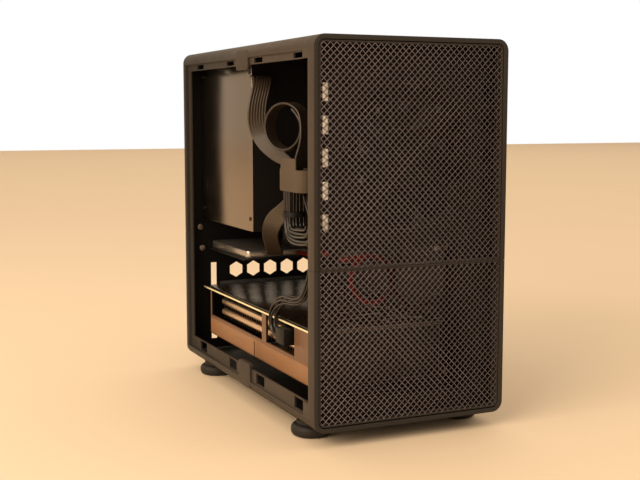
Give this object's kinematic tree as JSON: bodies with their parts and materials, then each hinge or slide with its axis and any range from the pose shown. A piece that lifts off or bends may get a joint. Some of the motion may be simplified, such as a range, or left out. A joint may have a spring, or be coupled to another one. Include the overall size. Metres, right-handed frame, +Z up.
{
  "type": "micro-ATX computer case",
  "caption": "Compact black tower computer case with rounded edges, mesh front and round feet, its left side open on the fitted board, power supply, drive, graphics card and cables.",
  "frame": {"origin": "on the floor under the middle of the body's footprint", "axes": "X to the case's right as seen from its front, Y to the back, Z up; the open side faces -X"},
  "size_m": [0.166, 0.312, 0.3097],
  "materials": {
    "shell_paint": "fine-textured satin black powder coat",
    "mesh_paint": "black painted woven-look mesh",
    "inner_steel": "satin black paint on sheet steel",
    "screw": "dark steel",
    "foot_rubber": "matte black rubber",
    "black_plastic": "matte black moulded plastic",
    "bright_steel": "plain bright steel",
    "fan_frame": "beige moulded plastic",
    "fan_rotor": "brown moulded plastic",
    "psu_paint": "satin black paint",
    "psu_face": "grey satin paint",
    "drive_case": "dark satin metal case",
    "board": "black circuit board",
    "standoff_brass": "plain brass",
    "fins": "plain sheet aluminium",
    "card_laminate": "pale bare laminate edge, dark faces",
    "backplate": "glossy black plate",
    "shroud": "dark grey-brown satin plastic",
    "copper": null,
    "cable_black": "black insulation",
    "cable_red": "red insulation",
    "strap_fabric": "beige hook-and-loop tape"
  },
  "bodies": {
    "case": {"upper_shell": "shell_paint", "lower_shell": "shell_paint", "front_plate": "inner_steel", "rear_panel": "inner_steel", "motherboard_tray": "inner_steel", "slot_covers": "inner_steel", "rear_screws": "screw", "foot_front_left": "foot_rubber", "foot_front_right": "foot_rubber", "foot_rear_left": "foot_rubber", "foot_rear_right": "foot_rubber", "port_module": "black_plastic", "port_sockets": "bright_steel", "front_fan_frame": "fan_frame", "psu_housing": "psu_paint", "psu_cover": "psu_face", "psu_cover_screws": "screw", "psu_inlet": "black_plastic", "drive": "drive_case", "drive_bracket": "inner_steel", "motherboard": "board", "standoffs": "standoff_brass", "board_screws": "screw", "rear_ports": "bright_steel", "port_shield": "bright_steel", "processor_socket": "bright_steel", "cooler_fins": "fins", "cooler_fan_frame": "black_plastic", "memory_sockets": "black_plastic", "memory_modules": "board", "card_sockets": "black_plastic", "board_sockets": "black_plastic", "power_stage_heatsink": "fins", "card_board": "card_laminate", "card_backplate": "backplate", "card_shroud": "shroud", "card_fins": "fins", "card_heat_pipes": "copper", "card_bracket": "bright_steel", "display_sockets": "black_plastic", "card_power_plug": "black_plastic", "power_ribbon": "cable_black", "ribbon_coil": "cable_black", "wire_hank": "cable_black", "card_power_lead": "cable_black", "data_lead": "cable_red", "cable_strap": "strap_fabric"},
    "upper_mesh": {"upper_front_mesh": "mesh_paint"},
    "lower_mesh": {"lower_front_mesh": "mesh_paint"},
    "side_panel": {"right_panel": "shell_paint", "right_panel_clips": "black_plastic"},
    "button": {"power_button": "black_plastic"},
    "rocker": {"psu_switch": "black_plastic"},
    "psu_fan": {"psu_fan_rotor": "black_plastic"},
    "cooler_fan": {"cooler_fan_rotor": "black_plastic"},
    "front_fan": {"front_fan_rotor": "fan_rotor"},
    "card_fan_1": {"card_fan_front": "black_plastic"},
    "card_fan_2": {"card_fan_rear": "black_plastic"}
  },
  "joints": [
    {"name": "upper_mesh_pull", "type": "slide", "parent": "case", "child": "upper_mesh", "axis": [0, -1, 0], "range_m": [0, 0.06]},
    {"name": "lower_mesh_pull", "type": "slide", "parent": "case", "child": "lower_mesh", "axis": [0, -1, 0], "range_m": [0, 0.06]},
    {"name": "side_panel_pull", "type": "slide", "parent": "case", "child": "side_panel", "axis": [1, 0, 0], "range_m": [0, 0.06]},
    {"name": "power_press", "type": "slide", "parent": "case", "child": "button", "axis": [0, 0, -1], "range_m": [0, 0.0012], "stiffness_N_per_m": 1200},
    {"name": "mains_rocker", "type": "hinge", "parent": "case", "child": "rocker", "pos_m": [-0.0045, 0.148, 0.268], "axis": [1, 0, 0], "range_deg": [-20, 0]},
    {"name": "psu_fan_spin", "type": "hinge", "parent": "case", "child": "psu_fan", "pos_m": [0, 0.0828, 0.223], "axis": [1, 0, 0], "continuous": true},
    {"name": "cooler_fan_spin", "type": "hinge", "parent": "case", "child": "cooler_fan", "pos_m": [0.03, 0.058, 0.2025], "axis": [1, 0, 0], "continuous": true},
    {"name": "front_fan_spin", "type": "hinge", "parent": "case", "child": "front_fan", "pos_m": [0, -0.133, 0.2185], "axis": [0, 1, 0], "continuous": true},
    {"name": "card_fan_front_spin", "type": "hinge", "parent": "case", "child": "card_fan_1", "pos_m": [-0.00745, -0.0513, 0.0445], "axis": [0, 0, 1], "continuous": true},
    {"name": "card_fan_rear_spin", "type": "hinge", "parent": "case", "child": "card_fan_2", "pos_m": [-0.00745, 0.0727, 0.0445], "axis": [0, 0, 1], "continuous": true}
  ]
}
